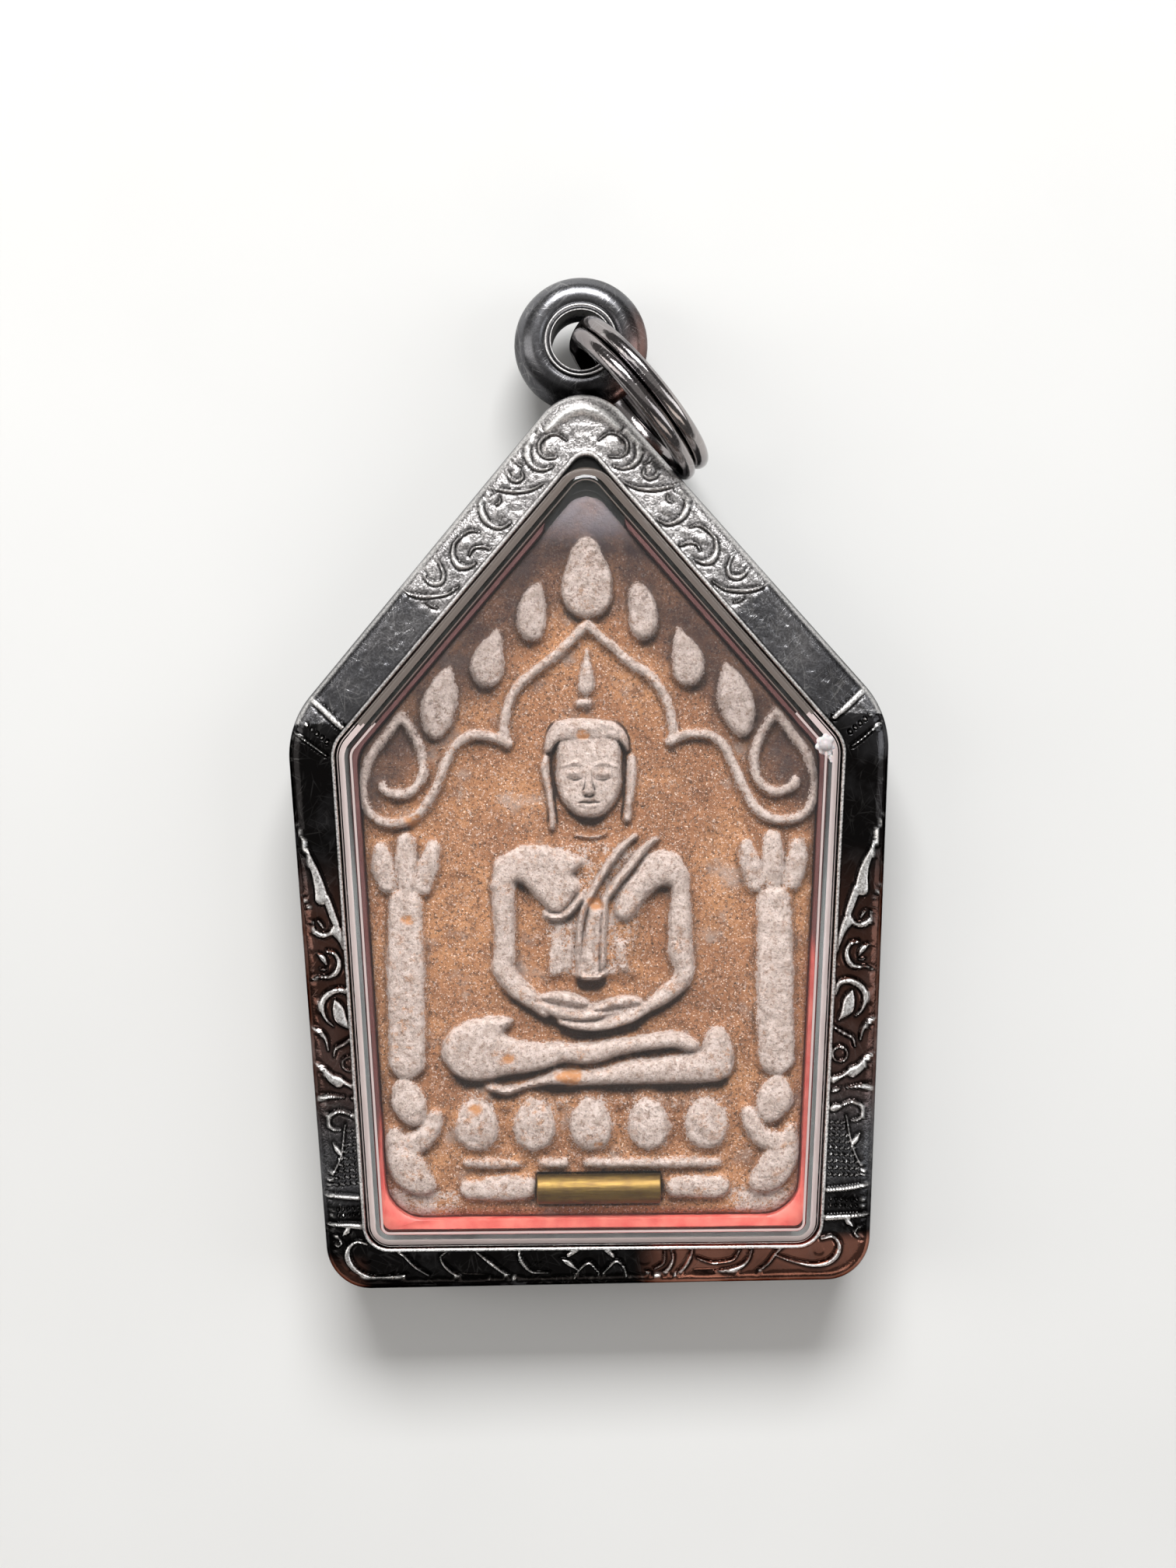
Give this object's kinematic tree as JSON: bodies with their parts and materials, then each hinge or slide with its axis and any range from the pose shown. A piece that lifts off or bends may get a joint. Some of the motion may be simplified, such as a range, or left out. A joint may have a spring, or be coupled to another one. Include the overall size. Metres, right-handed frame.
{
  "type": "thai buddha amulet pendant",
  "caption": "Pentagonal metal pendant case with a clear domed window over a moulded clay votive tablet, a cast scroll rim, and a split ring through the eye at its peak.",
  "frame": {"origin": "under the middle of the whole object's box, on the surface that it lies on", "axes": "+X across the case to the ring's side, +Y from the foot of the case to its eye, +Z out of the face of the window"},
  "size_m": [0.0388, 0.0656, 0.0125],
  "materials": {
    "case_metal": "mirror polished, dark in its recesses",
    "clear_acrylic": "clear and glossy with fine scratches",
    "fired_clay": "matt, speckled, paler on its raised parts",
    "gilt_brass": "gilt, worn",
    "red_strip": "satin",
    "ring_steel": "bright polished"
  },
  "bodies": {
    "case": {"case_frame": "case_metal", "front_window": "clear_acrylic", "back_window": "clear_acrylic", "clay_tablet": "fired_clay", "gold_tube": "gilt_brass", "red_liner": "red_strip"},
    "ring": {"split_ring": "ring_steel"}
  },
  "joints": [
    {"name": "ring_swing", "type": "hinge", "parent": "case", "child": "ring", "pos_m": [0, 0.02843, 0.0042], "axis": [0, 0, 1], "range_deg": [0, 275]}
  ]
}
